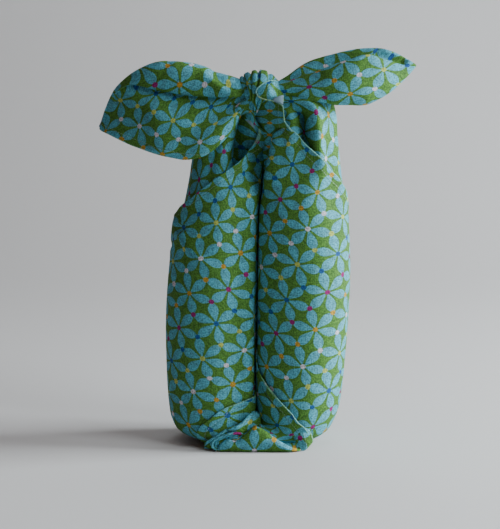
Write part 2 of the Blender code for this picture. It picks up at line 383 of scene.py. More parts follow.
@dataclass
class Roll:
    """A wound roll: cloth turned round a bottle, its outermost hem climbing round it.

    Args:
        side: Which roll it is.
        rings: Cross-sections from the fold underneath to the knot.
        zero: The place t along the roll of the cloth at height 0.
        rate: Millimetres of cloth per millimetre of height.
        winding: The distance w round the roll at the front, one value for each turn inwards.
        creases: The main troughs and ridges.
        lift: How its outermost turn stands off.
        lean: Heights, and the cloth's shift along t on the outer and on the inner side.
        slack: Degrees round the roll, and the cloth used there beyond an even winding.
        early: Heights, and how far before its straight course the outermost hem lies.
        slip: The cloth's shift along u under the outer turn, near the knot.
        drift: Heights, and the cloth's shift round the roll.
        foot_slack: The cloth's shift upwards at the foot.
        rim_hidden: How much of the sewn edge is turned out of sight.
        swell: How far the outermost turn lies outside the rings.
        pitch: How far each turn lies inside the one over it.
        hem_lift: How much further out the hem lies, fading over hem_reach.
        contact_swell: How much the roll swells towards the other one.
    """

    side: Side
    rings: tuple[Ring, ...]
    zero: float
    rate: float
    winding: tuple[float, ...]
    creases: tuple[Crease, ...]
    lift: Lift
    lean: tuple[tuple[float, float, float], ...]
    slack: Curve
    early: Curve
    slip: float
    drift: Curve = ((0.0, 0.0),)
    foot_slack: float = 0.0
    rim_hidden: float = 0.0
    swell: float = 1.4
    pitch: float = 1.15
    hem_lift: float = 1.6
    hem_reach: float = 9.0
    contact_swell: float = 3.0
    table: np.ndarray = field(init=False)
    path: np.ndarray = field(init=False)
    turns: np.ndarray = field(init=False)
    rounds: np.ndarray = field(init=False)
    one_turn: float = field(init=False)

    def __post_init__(self) -> None:
        """Work out the path along the rings and the winding round them."""
        self.table = np.array(self.rings, float)
        ground = next(i for i, ring in enumerate(self.rings) if ring.tilt == 0)
        steps = np.hypot(np.diff(self.table[:, 0]), np.diff(self.table[:, 2]))
        self.path = np.concatenate([[0.0], np.cumsum(steps)])
        self.path += self.rings[ground].z - self.path[ground]
        self.one_turn = self.winding[1] - self.winding[0]
        self.turns = np.linspace(-math.pi, FULL_TURN * (len(self.winding) - 1), TURN_STEPS)
        marks = FULL_TURN * np.arange(len(self.winding))
        even = np.interp(self.turns, marks, self.winding)
        before = self.winding[0] + self.one_turn / FULL_TURN * self.turns
        even = np.where(self.turns < 0, before, even)
        self.rounds = even + read(self.slack, np.degrees(self.turns), period=360.0)

    def place(self, along: float, around: float) -> Spot:
        """Put the point of the cloth at t along and w around on the roll."""
        height = (along - self.zero) / self.rate
        turn = float(np.interp(around - read(self.drift, height), self.rounds, self.turns))
        inwards = math.sin(turn)
        heights, outer, inner = zip(*self.lean)
        height += np.interp(height, heights, inner if inwards > 0 else outer) * inwards / self.rate
        height += self.foot_slack * window(height, FOOT_OPENS, FOOT_CLOSES)
        early = read(self.early, height)
        layer = (around - along + early) / self.one_turn
        root = math.sqrt(2.0)
        near, far = (around + along) / root, (around - along) / root
        u, v = (near, far) if self.side is Side.RIGHT else (far, near)
        inside = min(SQUARE.side - u, SQUARE.side - v, far + early / root) + self.rim_hidden
        u += self.slip * soft_step(*SLIP_ROUND, around) * soft_step(*SLIP_HEIGHTS, height)
        return Spot(self.surface(height, turn, layer), u, v, inside)

    def surface(self, height: float, turn: float, layer: float) -> Vector:
        """A point on the wound form.

        Args:
            height: The height along the roll's path.
            turn: The angle from the front towards the other roll, in radians.
            layer: How many turns of cloth lie over it.

        Returns:
            The point.
        """
        row = float(np.interp(height, self.path, np.arange(len(self.path))))
        x, y, z, tilt, across, deep, gather = spline(self.table, row)
        inwards, forwards = math.sin(turn), math.cos(turn)
        degrees = math.degrees(turn) % 360.0
        out = self.swell - self.pitch * layer + self.lift.at(height, turn, layer)
        out += self.hem_lift * math.exp(-layer * self.one_turn / self.hem_reach)
        out += gather * self.pleats(turn, height)
        out += self.contact_swell * max(inwards, 0.0) ** 3
        out -= sum(crease.depth_at(degrees, height, layer) for crease in self.creases)
        lean = math.radians(tilt)
        span = -(across + out) * inwards
        at_x = self.side.value * (x + span * math.cos(lean))
        at_y = y - (deep + out) * forwards
        at_z = z + span * math.sin(lean)
        at_x = CONTACT.press(self.side, (at_x, at_y, at_z), layer)
        bump = sum(ruck.out((at_x, at_y, at_z)) for ruck in ROLL_RUCKS)
        return Vector((at_x, at_y - bump * forwards, max(at_z, FLOOR_GAP)))

    def pleats(self, turn: float, height: float) -> float:
        """Uneven gathers round a neck, from -1 to 1."""
        wave = 0.0
        for gather in GATHERS:
            start = gather.start + gather.side_start * self.side.value
            wave += gather.share * math.sin(gather.count * turn + start + gather.climb * height)
        return wave / sum(gather.share for gather in GATHERS)

    def lay(self, sheet: Sheet) -> None:
        """Lay the roll's cloth in a sheet."""
        first = self.zero + self.rate * self.path[0] + SAMPLES.lowest
        last = self.zero + self.rate * self.path[-1]
        outer_last = self.one_turn + SAMPLES.outer_past
        outer = np.linspace(SAMPLES.outer_first, outer_last, SAMPLES.outer)
        inner = np.linspace(0.0, 1.0, SAMPLES.inner + 1)[1:]
        rows = []
        for along in np.linspace(first, last, SAMPLES.rows):
            hem = np.array(SAMPLES.hem) - read(self.early, (along - self.zero) / self.rate)
            shown = along + np.concatenate([hem, outer])
            end = min(math.sqrt(2.0) * SQUARE.side - along, self.rounds[-1])
            around = [*shown, *(shown[-1] + (end - shown[-1]) * inner)]
            if self.side is Side.RIGHT:
                around = around[::-1]
            rows.append([self.place(along, w) for w in around])
        sheet.lay(rows)


RIGHT_RINGS = (
    Ring(0, -1, 10.5, -90, 10, 42, 0),
    Ring(6, -1, 10.6, -62, 11.5, 41, 0),
    Ring(12.5, -1, 10.6, -41, 15.5, 39.5, 0),
    Ring(22.5, -0.5, 10.8, -24, 24.3, 38, 0),
    Ring(30.5, 0, 14, -11, 31, 38.5, 0),
    Ring(34, 0, 20, -3, 34, 39, 0),
    Ring(36.5, 0, 33, 0, 36.5, 39.5, 0),
    Ring(38, 0, 60, 0, 38.2, 40, 0),
    Ring(39.5, 0, 100, 0, 39.7, 40.5, 0),
    Ring(40.4, 0, 145, 0, 40.6, 40.5, 0),
    Ring(40, 0, 182, 0, 39.9, 40, 0.1),
    Ring(39.3, 0, 207, 1, 38, 39, 0.3),
    Ring(39.5, 0, 229, 2, 35, 37, 0.5),
    Ring(40, -1, 249, 4, 31.5, 34.5, 0.8),
    Ring(40.5, -3, 267, 9, 28.5, 31, 1.3),
    Ring(40.5, -4.5, 281, 16, 27.5, 27, 1.6),
    Ring(39, -7, 292, 33, 25, 22, 1.8),
    Ring(29, -10, 298, 56, 17, 16.5, 1.6),
    Ring(17.5, -11, 300, 74, 12.5, 13, 1.4),
    Ring(6, -12, 301.5, 84, 10, 11, 1),
)
LEFT_RINGS = (
    Ring(0, -1, 10.5, -90, 10, 45.5, 0),
    Ring(6, -1, 10.6, -62, 11.5, 45, 0),
    Ring(12.5, -1, 10.6, -41, 15.5, 44, 0),
    Ring(22.5, -0.5, 10.8, -24, 24.3, 42, 0),
    Ring(33.5, 0, 14, -9, 35, 40, 0),
    Ring(37.5, 0, 21, -3, 38, 39.5, 0),
    Ring(39, 0, 34, 0, 39.3, 40, 0),
    Ring(39.8, 0, 62, 0, 40, 40, 0),
    Ring(40, 0, 105, 0, 40.2, 40, 0),
    Ring(39, 0, 140, 0, 39.2, 39.5, 0),
    Ring(37, 0, 170, 0, 37.1, 38.5, 0.1),
    Ring(34.8, 0, 192, 0, 34.7, 37, 0.3),
    Ring(31.4, 0, 212, 1, 32.4, 35.5, 0.5),
    Ring(28.4, 1.5, 232, 2, 31.2, 32.5, 0.8),
    Ring(25.2, 4, 250, 4, 31.4, 29, 1.2),
    Ring(22, 3, 266, 8, 30, 26, 1.6),
    Ring(18, -2, 281, 20, 26, 22, 2),
    Ring(12.5, -11, 293, 44, 18.5, 17, 2),
    Ring(5, -12, 300, 70, 12.5, 12, 1.2),
)
RIGHT_CREASES = (
    Crease(-5, 244, 8, 292, 14, 9, 0.5),
    Crease(24, 252, 26, 300, -1.5, 8),
    Crease(50, 232, 50, 300, -6.5, 16),
    Crease(336, 244, 340, 300, -5, 11),
    Crease(318, 205, 322, 255, 1.6, 8),
)
LEFT_CREASES = (
    Crease(12, 250, 15, 292, 16, 11, 0.5),
    Crease(31, 250, 33, 292, 15, 11, 0.5),
    Crease(20, 240, 25, 295, 6, 38, 0.5),
    Crease(50, 236, 42, 292, 9, 19),
    Crease(345, 236, 350, 285, -1.6, 8, 0.5),
    Crease(70, 30, 30, 8, 2, 7),
    Crease(352, 160, 284, 200, -3.4, 8),
)

RIGHT_ROLL = Roll(
    Side.RIGHT,
    RIGHT_RINGS,
    zero=32.0,
    rate=1.057,
    winding=(60.5, 311.5, 562.0, 812.0, 1062.0),
    creases=RIGHT_CREASES,
    lift=Lift(reach=0.16, least=0.3, wave=0.8, seed=3.0),
    lean=((90, 0, 8), (130, 0, 5.5)),
    slack=(
        (-90, 7), (-50, 6.2), (-27, 2.5), (0, 1.2), (30, 1), (60, -0.8), (90, -2), (180, 0),
    ),
    early=(
        (8, 2), (22, -2), (47, -4.5), (54, -6.5), (62, -5.5), (75, 1.5), (120, 0),
    ),
    slip=-SQUARE.repeat,
)
LEFT_ROLL = Roll(
    Side.LEFT,
    LEFT_RINGS,
    zero=44.6,
    rate=1.049,
    winding=(70.0, 287.0, 540.0, 790.0, 1040.0),
    creases=LEFT_CREASES,
    lift=Lift(reach=0.3, least=0.3, wave=0.6, seed=7.0, most=2.5),
    lean=((80, -4, -2.5), (125, -4, -9), (190, -4, -6)),
    slack=(
        (-90, -2), (-49, -3.8), (-29, -1.3), (-9, 0.4), (20, 0.1), (45, -2.9), (60, -6.7),
        (90, -7.5), (180, 0),
    ),
    early=(
        (0, 1), (35, 0.5), (41, -4), (46, -11), (60, -11), (110, 7), (180, 13), (205, 20),
        (215, 16.2), (239, 12), (254, 11.5), (270, 13.2), (280, 21), (293, 33),
    ),
    slip=7.2,
    drift=((80, 2.6), (125, 0)),
    foot_slack=3.5,
    rim_hidden=1.2,
)


# ---- patches drawn through given points ----
SHORTEST_SPAN = 0.6  # spans shorter than this, in millimetres, count as this long


def through(points: np.ndarray, steps: Sequence[int]) -> np.ndarray:
    """Draw smooth curves through rows of points, with each span divided into steps."""
    gaps = np.linalg.norm(np.diff(points[..., :3], axis=0), axis=-1)[..., None]
    gaps = np.maximum(gaps, SHORTEST_SPAN)
    slopes = np.diff(points, axis=0) / gaps
    middle = (slopes[:-1] * gaps[1:] + slopes[1:] * gaps[:-1]) / (gaps[1:] + gaps[:-1])
    tangents = np.concatenate([slopes[:1], middle, slopes[-1:]])
    drawn = []
    for index, count in enumerate(steps):
        leaving, arriving = gaps[index] * tangents[index], gaps[index] * tangents[index + 1]
        for share in np.arange(count) / count:
            drawn.append(between(share, points[index], leaving, points[index + 1], arriving))
    drawn.append(points[-1])
    return np.array(drawn)


def woven(
    points: np.ndarray, ribs: Sequence[int], rows: Sequence[int]
) -> tuple[np.ndarray, np.ndarray]:
    """Draw a smooth surface through the points of a Net: its samples, and its normals there."""
    by_row = through(np.swapaxes(points, 0, 1), rows)
    full = through(np.swapaxes(by_row, 0, 1), ribs)
    place = full[..., :3]
    normal = np.cross(np.gradient(place, axis=0), np.gradient(place, axis=1))
    normal /= np.maximum(np.linalg.norm(normal, axis=-1, keepdims=True), 1e-6)
    return full, normal


class Fold(NamedTuple):
    """A soft trough, or with a negative depth a ridge, between two places seen from the front."""

    from_x: float
    from_z: float
    to_x: float
    to_z: float
    depth: float
    width: float

    def depth_at(self, x: float, z: float) -> float:
        """How deep it is at a place seen from the front."""
        run_x, run_z = self.to_x - self.from_x, self.to_z - self.from_z
        x, z = x - self.from_x, z - self.from_z
        share = min(max((x * run_x + z * run_z) / (run_x**2 + run_z**2), 0.0), 1.0)
        return self.depth * bell(math.hypot(x - share * run_x, z - share * run_z), self.width)


@dataclass
class Net:
    """A patch of cloth through a net of points.

    Args:
        points: Shape (ribs, points of a rib, 5 or 6): x, y, z, u, v and, where it is given, the
            distance inside the sewn edge.
        ribs: Steps between ribs.
        rows: Steps between the points of a rib.
        crumple: The depth of its small unevenness.
        folds: Troughs and ridges pressed into it.
        front: The rows of samples that they reach.
    """

    points: np.ndarray
    ribs: Sequence[int]
    rows: Sequence[int]
    crumple: float = 0.35
    folds: tuple[Fold, ...] = ()
    front: range = range(0)

    def lay(self, sheet: Sheet) -> None:
        """Lay the patch in a sheet."""
        full, normal = woven(self.points, self.ribs, self.rows)
        ruck = Ruck(self.crumple, size=9.0, seed=5.0)
        for rib, row in np.ndindex(full.shape[:2]):
            point = full[rib, row, :3].copy()
            out = ruck.out(point)
            if row in self.front:
                out -= sum(fold.depth_at(point[0], point[2]) for fold in self.folds)
            full[rib, row, :3] = point + normal[rib, row] * out
        sheet.lay_samples(full)


class Print(NamedTuple):
    """Where a patch's print lies, seen from the front.

    The point x, z shows u, v. u runs at an angle, in degrees from +x towards +z, and v is a
    quarter turn further on. The print is first stretched, and sheared along x.
    """

    x: float
    z: float
    u: float
    v: float
    angle: float
    stretch_x: float = 1.0
    stretch_z: float = 1.0
    shear: float = 0.0

    def cloth(self, x: float, z: float) -> tuple[float, float]:
        """The cloth coordinates of a point."""
        turn = math.radians(self.angle)
        dz = (z - self.z) * self.stretch_z
        dx = (x - self.x) * self.stretch_x + dz * self.shear
        return (
            self.u + dx * math.cos(turn) + dz * math.sin(turn),
            self.v - dx * math.sin(turn) + dz * math.cos(turn),
        )


FAR_INSIDE = 99.0  # a distance from the sewn edge where no sewing shows


def printed(
    rows: Sequence[Sequence[Point]], shown: Print, inside: float | Sequence = FAR_INSIDE
) -> np.ndarray:
    """Give a net of points their cloth coordinates.

    Args:
        rows: Ribs of x, y, z points.
        shown: How the print lies.
        inside: How far the points lie inside the sewn edge: one value, one for each point of a
            rib, or a row of one value for each rib.

    Returns:
        An array of shape (ribs, points, 6).
    """
    net = np.array([[(*at, *shown.cloth(at[0], at[2])) for at in rib] for rib in rows])
    depths = np.broadcast_to(np.array(inside, float), net.shape[:2])
    return np.concatenate([net, depths[..., None]], axis=-1)


class Rolled(NamedTuple):
    """A narrow roll of cloth: its radius, the flower whose petal it shows, and its path."""

    radius: float
    flower: int
    path: tuple[Point, ...]

    def points(self, inside: float) -> np.ndarray:
        """The net of points of an open tube with its slit behind, so far inside the hem."""
        ribs = []
        front = Vector((0.0, -1.0, 0.0))
        first_u = SQUARE.first_u + self.flower * SQUARE.repeat
        v = SQUARE.first_v + ROLLED_FIRST_V
        for index, point in enumerate(self.path):
            before = Vector(self.path[max(index - 1, 0)])
            after = Vector(self.path[min(index + 1, len(self.path) - 1)])
            v += (Vector(point) - before).length * ROLLED_STRETCH
            up = (after - before).cross(front).normalized()
            rib = []
            for angle in np.radians(np.linspace(ROLLED_OPENING, -ROLLED_OPENING, ROLLED_POINTS)):
                out = (front * math.cos(angle) + up * math.sin(angle)) * self.radius
                x, y, z = Vector(point) + out
                rib.append((x, y, max(z, FLOOR_GAP), first_u + self.radius * angle, v, inside))
            ribs.append(rib)
        return np.array(ribs)

    def lay(self, sheet: Sheet, inside: float, steps: tuple[int, int], crumple: float) -> None:
        """Lay it in a sheet, with steps between the points along it and between those round it."""
        ribs, rows = len(self.path) - 1, ROLLED_POINTS - 1
        Net(self.points(inside), (steps[0],) * ribs, (steps[1],) * rows, crumple).lay(sheet)


ROLLED_FIRST_V = 122.0  # where along its flowers a roll starts
ROLLED_STRETCH = 0.55  # cloth used for each millimetre of its path
ROLLED_OPENING = 150.0  # degrees from its front to each side of its slit
ROLLED_POINTS = 7  # points round it


# ---- the two ears ----
class EarRib(NamedTuple):
    """One line of the left ear, from its lower hem up to the lip of the pleat and over the crest.

    v is its place along the lower hem, and turned the cloth folded behind there. rise is the cloth
    used for each millimetre up to the lip, and tuck how much the pleat hides, from 0 to 1. back is
    the y and z where it ends, behind the crest.
    """

    v: float
    turned: float
    rise: float
    tuck: float
    hem: Point
    middle: Point
    lip: Point
    crest: Point
    back: Pair


LEFT_EAR = (
    EarRib(12, 0, 1.05, 0, (-137.6, 5.5, 275.4), (-138.2, 6, 276.6), (-138, 6.6, 278),
           (-137.4, 7.2, 279.4), (9, 279)),
    EarRib(16, 0, 1.1, 0, (-135.6, 2, 274.4), (-132, 1, 285), (-131, 1, 295), (-125.4, 4, 309.5),
           (9, 303)),
    EarRib(24, 0, 1.15, 0.15, (-132.2, -2, 273.2), (-117, -8, 301.5), (-113.8, -9, 312.4),
           (-103, -3, 328.6), (8, 313)),
    EarRib(54, 0, 1, 0.7, (-106.2, -17, 262.2), (-93.6, -25, 295.8), (-84.8, -20, 309.6),
           (-85, -7, 335.2), (9, 311)),
    EarRib(84, 0, 0.8, 1, (-79.6, -28, 254.9), (-69.9, -35, 285.6), (-58.9, -24, 306.2),
           (-63.6, -9, 334.8), (10, 304)),
    EarRib(104, 1, 0.9, 1, (-59.9, -32, 252), (-52.4, -37, 282.7), (-40.4, -26, 304.9),
           (-47.3, -9.5, 331.6), (8, 300)),
    EarRib(120, 5, 1.1, 1, (-44.1, -34, 256.2), (-37.4, -38, 282.9), (-27.3, -28, 304.2),
           (-33.4, -11, 325.6), (5, 299)),
    EarRib(136, 16, 1.05, 0.9, (-27.4, -34, 270.2), (-24.4, -36, 286.5), (-17.8, -26, 304),
           (-22.6, -12, 322.6), (1, 299.5)),
    EarRib(150, 36, 1.05, 0.7, (-13.6, -27, 291.1), (-10.5, -25, 296.5), (-8, -17, 303.3),
           (-10.7, -10, 318.6), (-5, 302)),
)


@dataclass(frozen=True)
class LeftEar:
    """The left free corner: a hanging sheet under a puffed fold that closes towards the knot.

    A full pleat goes in by shade under its lip, and by deep to its bottom. The puffed fold is
    fullest at front_share of the way from the lip to the crest, and stands out there by tip_out,
    and over a full pleat by pleat_out more.
    """

    puff_print: Print = Print(-63.8, 315.2, 660.5, 54.0, 209.5, 0.94, 1.1)
    most_middle: float = 37.9
    middle_ease: float = 1.12
    lip_share: float = 0.15
    shade: float = 4.0
    deep: Point = (1.0, 7.5, 11.0)
    front_share: float = 0.42
    tip_out: float = 1.5
    pleat_out: float = 8.5
    crest_over: float = 4.0
    over_share: float = 0.35
    over: Point = (0.0, 2.5, 3.0)
    back_x: float = 2.0
    back_u: float = 4.0
    over_v: float = 0.62
    folds: tuple[Fold, ...] = (
        Fold(-24, 297, -66, 270, 2.6, 9),
        Fold(-22, 283, -48, 262, -1.8, 8),
        Fold(-89, 292, -82, 262, -2.2, 9),
        Fold(-100, 292, -98, 268, 1.6, 8),
        Fold(-38, 325, -17, 309, 2.6, 2.2),
        Fold(-46, 323, -22, 307, -1.8, 3),
        Fold(-84, 324, -76, 333, 1.2, 3),
    )

    def rib(self, row: EarRib) -> list[tuple[float, ...]]:
        """The points of one rib, with their cloth coordinates."""
        hem, middle, lip, crest = map(Vector, (row.hem, row.middle, row.lip, row.crest))
        back = Vector((row.crest[0] + self.back_x, *row.back))
        tuck = row.tuck
        rounding = self.lip_share * (lip - middle).length * (1.0 - tuck)
        shade = lip + Vector((0.0, self.shade * tuck, -rounding))
        deep = lip + Vector(self.deep) * tuck
        edge = lip + Vector((0.0, 0.0, rounding))
        out = self.tip_out + self.pleat_out * tuck
        front = lip.lerp(crest, self.front_share) - Vector((0.0, out, 0.0))
        over = crest.lerp(back, self.over_share) + Vector(self.over)

        side = SQUARE.side
        rise = (middle - hem).length * self.middle_ease
        height = min(self.most_middle, row.turned + rise)
        top = height + (shade - middle).length * row.rise
        reach = top + (front - shade).length
        end = reach + (crest - front).length
        edge_cloth = self.blend(row, edge, side - top - 2 * rounding)
        front_cloth = self.blend(row, front, side - reach)
        read_at = crest + Vector((0.0, 0.0, self.crest_over))
        crest_u, crest_v = self.blend(row, read_at, side - end)
        return [
            (*hem, side - row.turned, row.v),
            (*middle, side - height, row.v),
            (*shade, side - top, row.v),
            (*deep, (side - top + edge_cloth[0]) / 2, (row.v + edge_cloth[1]) / 2),
            (*edge, *edge_cloth),
            (*front, *front_cloth),
            (*crest, crest_u, crest_v),
            (*over, crest_u - self.back_u / 2, self.over_v * crest_v),
            (*back, crest_u - self.back_u, 0.0),
        ]

    def blend(self, row: EarRib, point: Vector, u: float) -> tuple[float, float]:
        """Cloth coordinates above the lip: the sheet's at the tip, the puffed fold's elsewhere."""
        share = soft_step(0.0, 0.5, row.tuck)
        fold_u, fold_v = self.puff_print.cloth(point.x, point.z)
        return u + (fold_u - u) * share, row.v + (fold_v - row.v) * share

    def lay(self, sheet: Sheet) -> None:
        """Lay the ear in a sheet."""
        points = np.array([self.rib(row) for row in LEFT_EAR])
        rows = (9, 7, 5, 4, 5, 7, 7, 6)
        front = range(sum(rows[:6]) + 1)
        Net(points, (5, 6, 8, 8, 7, 6, 6, 5), rows, folds=self.folds, front=front).lay(sheet)


class PodRib(NamedTuple):
    """One line of the right ear, from the hem underneath, round the front and over to the back.

    furrow is its depth behind the upper edge, from 0 to 1. back is the y and z where it ends.
    """

    furrow: float
    under: Point
    low: Point
    front: Point
    edge: Point
    ridge: Point
    back: Pair


RIGHT_EAR = (
    PodRib(0, (10, -16, 306), (10, -20, 302), (10, -22, 308), (10, -17, 312), (10, -12, 314),
           (-6, 312)),
    PodRib(0.1, (24, -19, 304.5), (24, -27, 305.5), (23.3, -28, 311.5), (23.4, -20, 317.3),
           (23.5, -9, 321.5), (-2, 314)),
    PodRib(0.35, (43, -19, 302), (41.5, -31, 301.7), (44.4, -35, 311.2), (44.6, -23, 324.8),
           (42.8, -7, 334.7), (2, 318)),
    PodRib(0.8, (62, -10, 315), (61.9, -27, 299.4), (61.2, -37, 311.3), (62.6, -26, 332),
           (62, -8, 340.6), (3, 321)),
    PodRib(1, (78, -5, 311), (78.1, -22, 298.4), (77.2, -36.5, 312.3), (78.5, -27, 337.3),
           (79, -9, 344.6), (3, 325)),
    PodRib(0.8, (93, -6, 304), (92.9, -20, 298.7), (92, -33, 313.3), (93.5, -24, 341.2),
           (94.5, -9, 346.6), (1, 331)),
    PodRib(0.4, (110, -11, 307), (109.3, -18, 305.9), (108.1, -26, 318.5), (109.3, -19, 338),
           (109.6, -8, 345.7), (-1, 338)),
    PodRib(0.2, (124, -8.5, 317.5), (123.4, -12, 316.4), (122.7, -16.5, 323.6),
           (123.3, -13, 333.3), (123.9, -6.5, 340), (-3, 337)),
    PodRib(0, (136, -6, 330), (136.4, -6.8, 329.9), (136.8, -7.4, 331), (136.8, -7.2, 331.9),
           (136.4, -6.4, 332.8), (-5.5, 332.4)),
)


@dataclass(frozen=True)
class RightEar:
    """The right free corner: a pod with its hem below and a furrow along its top.

    A full furrow goes in by furrow, at furrow_share of the way from the edge to the ridge. The
    front is fullest at high_share of the way up to the edge, and stands out there by high_out.
    """

    shown: Print = Print(71.0, 334.5, 40.9, 708.3, 226.0, 0.93, 1.14, -0.12)
    ease: float = 1.12
    inside: float = 30.0
    back_inside: float = 14.0
    turned: float = 4.0
    furrow_share: float = 0.45
    furrow: Point = (0.0, 3.0, -9.0)
    high_share: float = 0.55
    high_out: float = 2.5
    least_out: float = 0.4
    folds: tuple[Fold, ...] = (
        Fold(28, 314, 52, 322, 1.6, 5),
        Fold(24, 308, 60, 307, 1.4, 4),
        Fold(104, 342, 126, 335, 3.2, 2.2),
        Fold(108, 344.5, 130, 334, -1.6, 2.2),
        Fold(66, 303, 92, 303, -1.2, 5),
        Fold(30, 305, 55, 303.5, 2, 3.5),
    )

    def rib(self, row: PodRib) -> list[tuple[float, ...]]:
        """The points of one rib, with their cloth coordinates."""
        low, front, edge, ridge = map(Vector, (row.low, row.front, row.edge, row.ridge))
        back = Vector((row.ridge[0], *row.back))
        furrow = edge.lerp(ridge, self.furrow_share) + Vector(self.furrow) * row.furrow
        out = self.high_out * min(1.0, row.furrow + self.least_out)
        high = front.lerp(edge, self.high_share) - Vector((0.0, out, 0.0))
        base = self.shown.z - (self.shown.z - front.z) * self.ease

        run = (front, high, edge, furrow, ridge)
        heights = np.cumsum([0.0, *((there - here).length for here, there in zip(run, run[1:]))])
        heights = [-(front - low).length, *heights]
        shown = [
            (*point, *self.shown.cloth(point.x, base + height), self.inside)
            for point, height in zip((low, *run), heights)
        ]
        low_u, low_v = shown[0][3:5]
        ridge_u, ridge_v = shown[-1][3:5]
        turned = self.turned
        return [
            (*row.under, low_u + turned, low_v + turned, 0.0),
            *shown,
            (*ridge.lerp(back, 0.5), ridge_u - turned, ridge_v - turned, self.back_inside),
            (*back, ridge_u - 2 * turned, ridge_v - 2 * turned, 0.0),
        ]

    def lay(self, sheet: Sheet) -> None:
        """Lay the ear in a sheet."""
        points = np.array([self.rib(row) for row in RIGHT_EAR])
        rows = (6, 7, 7, 6, 4, 4, 5, 5)
        front = range(4, sum(rows[:6]))
        Net(points, (5, 7, 7, 6, 6, 6, 6, 6), rows, folds=self.folds, front=front).lay(sheet)


# ---- the knot ----
# ribs of x, y, z points for each patch
BAND = (
    ((-15.2, -2, 313), (-15.2, -13, 321.5), (-14.2, -22, 315.6), (-11.2, -26, 307),
     (-8.6, -24, 300), (-5.4, -17, 288)),
    ((-12.8, -1, 317), (-12.8, -13, 323.7), (-11, -24, 317.4), (-8.8, -29, 309), (-7.1, -27, 302),
     (-4.9, -18, 288)),
    ((-6.8, 0, 320), (-6.8, -14, 326.8), (-6.4, -26, 320.5), (-6, -32, 312.4), (-5.5, -30, 304),
     (-4.3, -19, 288)),
    ((0.7, 0, 321), (0.6, -14, 328.1), (1.2, -27, 322.2), (0.1, -33, 315), (-2.1, -31, 305.5),
     (-3.8, -19, 288)),
    ((9.5, 0, 319), (9.4, -14, 326.8), (9.7, -25, 321.8), (6.6, -31, 315.4), (2.3, -29, 305.5),
     (-3, -19, 288)),
    ((17.6, -2, 312), (17.4, -13, 319.5), (17.2, -21, 315.4), (12.7, -26, 310), (6.6, -26, 303.6),
     (-2, -18, 288)),
)
LOBE = (
    ((15.7, -28, 319.1), (16.5, -26, 319.8), (17.6, -18, 318.8)),
    ((9.7, -33, 319), (14.2, -32, 318), (18.4, -21, 316.5)),
    ((3.7, -36, 316.5), (11.5, -37, 315), (19.4, -23, 313.5)),
    ((-0.9, -38, 311.3), (10, -40, 311), (20.4, -25, 310.8)),
    ((1.2, -39.5, 306.3), (11, -40.5, 307.5), (21.6, -26, 308.8)),
    ((4.6, -40, 304), (13, -40.5, 305.8), (22.2, -27, 307.5)),
    ((12.2, -40, 302.5), (16.5, -39.8, 304.5), (22.6, -28, 306)),
    ((18.1, -39, 300.3), (19.5, -38.5, 303), (22.8, -29, 304)),
    ((20.7, -38, 298.2), (21.2, -37, 300.5), (23, -30, 301.5)),
)
TURNED = (
    ((12.6, -40.8, 302.4), (13.8, -41.2, 305.1)),
    ((15.4, -40.6, 301.3), (16.6, -41, 306.2)),
    ((18.4, -40, 300.2), (19, -40.2, 307)),
    ((20.9, -38.8, 298.1), (21.4, -38, 307.2)),
)
TIP = (
    ((-10.4, -26, 286.3), (-9.4, -27.5, 286.5)),
    ((-8.2, -27.5, 284.2), (-6.2, -28.5, 285.4)),
    ((-5.8, -27.5, 281.6), (-4.2, -28, 283)),
    ((-3.4, -26, 279), (-2.8, -26, 279.8)),
)
PANEL = (
    ((-6, -13, 303), (-6.2, -11, 296), (-5.5, -9, 289), (-3, -7, 280), (2, -5, 268), (4, 0, 240)),
    ((3, -22, 303), (2.5, -19, 296), (2.5, -17, 289), (4, -14, 280), (7, -11, 268), (7, -4, 240)),
    ((12, -31, 302), (11.5, -28, 295), (11.5, -26, 288), (12, -22, 280), (12, -16, 268),
     (10, -6, 240)),
    ((18, -36, 300), (18, -34, 294), (18, -32.5, 287), (19, -30, 280), (18, -21, 268),
     (13, -8, 240)),
    ((20.9, -37.6, 298.5), (22, -36.8, 291), (22.3, -36.2, 285.5), (26.6, -35.8, 279.6),
     (30.6, -33.4, 275), (30, -20, 262)),
)
# thin rolls along the lobe's rim and the panel's hem; laid at the sewn edge, they are coloured all
# over with the painted edge highlight
HEM_EDGES = (
    Rolled(0.5, 3, (
        (15.7, -29, 319.1), (9.7, -34.5, 319), (3.7, -37.5, 316), (-1.4, -39.5, 310.3),
        (0.6, -41, 306), (4.6, -41.5, 304), (12.2, -41.5, 302.5), (18.1, -40.5, 300.3),
        (20.7, -39.5, 298.2), (22, -38.2, 291), (22.5, -37.6, 285.5),
    )),
    Rolled(0.45, 3, ((22.5, -37.6, 285.5), (26.6, -37, 279.6), (30.6, -35, 275))),
)


class Pleat(NamedTuple):
    """A pleat along the band: the rib that it follows, how far it stands out, and its width."""

    rib: float
    out: float
    width: float


